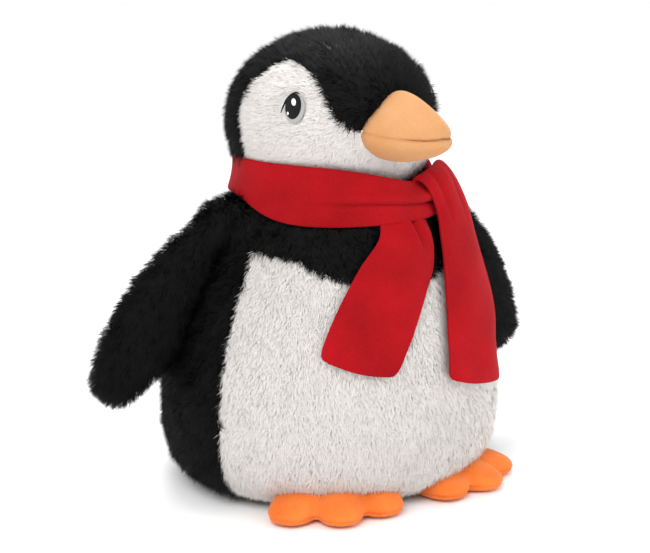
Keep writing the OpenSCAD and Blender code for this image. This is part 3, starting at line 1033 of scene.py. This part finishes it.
def hang(obj, co, thick, body, nodes):
    place(obj, co)
    pick(obj)
    apply(obj, "SOLIDIFY", thickness=thick, offset=0.0, use_even_offset=False)
    apply(obj, "SUBSURF", levels=1, render_levels=1)
    bpy.ops.object.mode_set(mode="EDIT")
    bpy.ops.mesh.select_all(action="SELECT")
    bpy.ops.mesh.normals_make_consistent(inside=False)
    bpy.ops.object.mode_set(mode="OBJECT")
    bpy.ops.object.shade_smooth()
    obj.data.materials.append(red_velour)
    if body:
        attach(obj, body)
    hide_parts(*nodes)
    return obj


# the band round the neck, heights in mm: level behind, low over the chest, its top dips to the knot
BAND_LOW, BAND_SAG = 171, 13.2
BAND_TOP, KNOT_DIP, KNOT_AT, KNOT_SPAN = 190.5, 13, 34, 45
obj, u, v = cloth_grid("scarf_band", 300, 40)
a = (u * 2 - 1) * math.pi
deg = np.degrees(a)
behind = np.clip((np.abs(deg) - 100) / 80, 0, 1)
reach = np.abs(deg - 4)
sag = np.exp(-np.where(deg < 4, (reach / 80) ** 6, (reach / 76) ** 4))
low = (BAND_LOW - BAND_SAG * sag - 3 * behind) * MM
high = (BAND_TOP - KNOT_DIP * np.exp(-((deg - KNOT_AT) / KNOT_SPAN) ** 2) - 1.5 * behind) * MM
rise = np.clip((v - 0.1) / 0.8, 0, 1)
z = low + (high - low) * rise
ahead = np.clip((100 - np.abs(deg)) / 60, 0, 1)  # 1 over the chest, 0 behind
skin_low = np.maximum(body_r(a, low) + 0.0046, 0.0572)
r = skin_low + (0.0562 + 0.0022 * ahead - skin_low) * rise ** 0.8
r += (0.0002 + 0.0022 * ahead) * np.sin(math.pi * rise)
r += 0.0024 * (1 - ahead) * (1 - rise) ** 2
turn_in = np.clip(0.1 - v, 0, 1) / 0.1
turn_out = np.clip(v - 0.9, 0, 1) / 0.1
r -= 0.0034 * turn_in + 0.0036 * turn_out
z += 0.0022 * np.sin(turn_in * math.pi * 0.6) - 0.0026 * turn_out ** 2
sink = np.clip((deg + 20) / 60, 0, 1)
fold = (170 - 4 * sink ** 2 * (3 - 2 * sink)) * MM
firm = np.clip((deg + 48) / 30, 0, 1) * np.clip((66 - deg) / 12, 0, 1)
r -= 0.0019 * firm * np.exp(-((z - fold) / 0.0010) ** 2)
r += 0.0013 * firm * np.exp(-((z - fold - 0.0035) / 0.0026) ** 2)
gather = np.clip((deg - 2) / 26, 0, 1) * np.clip((70 - deg) / 15, 0, 1)
r += 0.0012 * gather * np.sin((z - low) / 0.0062 * math.pi + 0.6)
r += 0.0005 * waves(ring_at(a, r, z), 0.03, 5) * np.sin(math.pi * rise)
hang(obj, ring_at(a, r, z), 0.0014, "scarf", ["scarf_collar"])

# the tail in front, from under the band to its hem: degrees and mm at its left edge, then its right
FRONT = [[-4, 170, 30, 168], [-5, 154, 27, 153], [-18, 137, 21, 137], [-27, 119, 10, 119],
         [-33, 100, 0, 100], [-34, 91, -8, 80]]
obj, u, v = cloth_grid("scarf_tail_near", 46, 100)
edge = smooth_rows(1 - v, FRONT)
bow = 1 - (2 * u - 1) ** 2
corner = np.clip((0.075 - v) / 0.075, 0, 1) ** 2
inset = 0.055 * corner
s = inset + u * (1 - 2 * inset)
deg = edge[:, 0] + (edge[:, 2] - edge[:, 0]) * s
z = (edge[:, 1] + (edge[:, 3] - edge[:, 1]) * s) * MM
z += np.where(v < 0.12, (v / 0.12 - 1) * 0.0018 * bow, 0)
a = np.radians(deg)
tuck = np.clip((z - 0.150) / 0.012, 0, 1)
r = body_r(a, np.minimum(z, 0.160)) + 0.0046 + 0.0008 * bow * (1 - tuck)
r -= 0.0016 * tuck
pleat = np.clip((z - 0.141) / 0.009, 0, 1)
r -= 0.0026 * pleat * np.exp(-((deg - 17.0) / 1.7) ** 2)
r += 0.0022 * pleat * np.exp(-((deg - 12.5) / 2.6) ** 2) + 0.0014 * pleat * np.exp(-((deg - 21.5) / 1.8) ** 2)
side_gap = np.minimum(u, 1 - u) * 0.05
r -= 0.0006 * np.exp(-((side_gap - 0.0026) / 0.0007) ** 2) * (1 - tuck)
r += 0.0007 * waves(np.stack([s * 0.05, v * 0.1, z * 0], 1), 0.034, 8) * (1 - tuck)
tail = hang(obj, ring_at(a, r, z), 0.0019, None, ["scarf_tail_front"])
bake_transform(tail)

# the tail that comes up behind the band, over it and down: degrees, radius and height at each edge
OVER = [[24, 54, 168, 60, 54, 170], [21, 58, 180, 58, 60, 185], [25, 64, 176, 59, 68, 180],
        [32, 66, 162, 60, 77, 162], [29, 70, 146, 59, 83, 142], [23, 78, 126, 55, 89, 121],
        [18, 86, 105, 50, 94, 102], [15, 91, 87, 46, 97, 83], [13, 94, 74, 42, 100, 64]]
obj, u, v = cloth_grid("scarf_tail_far", 46, 140)
edge = smooth_rows(1 - v, OVER)
bow = 1 - (2 * u - 1) ** 2
corner = np.clip((0.055 - v) / 0.055, 0, 1) ** 2
inset = 0.055 * corner
s = inset + u * (1 - 2 * inset)
deg = edge[:, 0] + (edge[:, 3] - edge[:, 0]) * s
z = (edge[:, 2] + (edge[:, 5] - edge[:, 2]) * s) * MM
z += np.where(v < 0.1, (v / 0.1 - 1) * 0.0016 * bow, 0)
a = np.radians(deg)
r = (edge[:, 1] + (edge[:, 4] - edge[:, 1]) * s) * MM
outside = np.clip((1 - v - 0.13) / 0.08, 0, 1)
top_arch = np.clip(1 - np.abs((1 - v) - 0.17) / 0.17, 0, 1)
r += 0.0022 * bow * outside
z += 0.0016 * bow * top_arch
lie = body_r(a, np.minimum(z, 0.160)) + 0.0046
r = np.where(1 - v > 0.3, np.maximum(r, lie), r)
crease = np.clip((z - 0.150) / 0.02, 0, 1) * outside
r -= 0.0016 * crease * np.exp(-((s - 0.24) / 0.05) ** 2) + 0.0011 * crease * np.exp(-((s - 0.66) / 0.07) ** 2)
side_gap = np.minimum(u, 1 - u) * 0.05
r -= 0.0006 * np.exp(-((side_gap - 0.0026) / 0.0007) ** 2) * outside
lowest = np.clip((0.22 - v) / 0.22, 0, 1)
r += 0.0012 * lowest * np.sin((s * 0.05 + v * 0.09) / 0.0062)
r += 0.0008 * waves(np.stack([s * 0.05, v * 0.13, z * 0], 1), 0.036, 9) * outside
tail = hang(obj, ring_at(a, r, z), 0.0019, None, ["scarf_knot", "scarf_tail_over"])
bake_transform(tail)

# ---------------------------------------------------------------- camera, light and floor
AZ, EL, FAR = math.radians(-30), math.radians(12.5), 0.95
target = Vector((-0.00346, 0.002, 0.117))
back = Vector((math.sin(AZ) * math.cos(EL), -math.cos(AZ) * math.cos(EL), math.sin(EL)))
cam_data = bpy.data.cameras.new("camera")
cam_data.lens = 90
cam_data.sensor_width = 36
cam_data.sensor_fit = "HORIZONTAL"
cam = bpy.data.objects.new("camera", cam_data)
bpy.context.scene.collection.objects.link(cam)
cam.location = target + back * FAR
cam.rotation_euler = (-back).to_track_quat("-Z", "Y").to_euler()
bpy.context.scene.camera = cam


def lamp(name, place_at, aim, size, power, tone=(1, 1, 1)):
    data = bpy.data.lights.new(name, "AREA")
    data.energy = power
    data.size = size
    data.color = tone
    obj = bpy.data.objects.new(name, data)
    bpy.context.scene.collection.objects.link(obj)
    obj.location = place_at
    obj.rotation_euler = (Vector(aim) - Vector(place_at)).to_track_quat("-Z", "Y").to_euler()


lamp("key", (-0.75, -0.75, 0.95), (0, 0, 0.13), 0.7, 9)
lamp("fill", (0.8, -0.9, 0.5), (0, 0, 0.12), 0.9, 3)
lamp("top", (0.1, 0.35, 1.1), (0, 0, 0.15), 0.6, 7)
world = bpy.data.worlds.new("studio")
world.use_nodes = True
world.node_tree.nodes["Background"].inputs["Color"].default_value = (1, 1, 1, 1)
world.node_tree.nodes["Background"].inputs["Strength"].default_value = 1.02
bpy.context.scene.world = world
bpy.context.scene.view_settings.view_transform = "Standard"

bpy.ops.object.select_all(action="DESELECT")
bpy.ops.mesh.primitive_plane_add(size=12, location=(0, 0, -0.0004))
floor = bpy.context.object
floor.name = floor.data.name = "floor"
paper, pn, pl, pb = new_material("studio paper")
grain = pn.new("ShaderNodeTexNoise")
grain.inputs["Scale"].default_value = 3
tone = pn.new("ShaderNodeValToRGB")
tone.color_ramp.elements[0].color = (0.975, 0.975, 0.975, 1)
tone.color_ramp.elements[1].color = (0.985, 0.985, 0.985, 1)
floor_at = pn.new("ShaderNodeTexCoord")
pl.new(floor_at.outputs["Object"], grain.inputs["Vector"])
pl.new(grain.outputs["Fac"], tone.inputs["Fac"])
pl.new(tone.outputs["Color"], pb.inputs["Base Color"])
pb.inputs["Roughness"].default_value = 0.9
floor.data.materials.append(paper)

# ---------------------------------------------------------------- what is inside
for node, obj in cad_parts.items():
    if "stuffing" in node or "root" in node:
        obj.data.materials.clear()
        obj.data.materials.append(dark_fibre if "wing" in node else fibre)
    elif node == "pellet_bag":
        obj.data.materials.clear()
        obj.data.materials.append(bag_cloth)
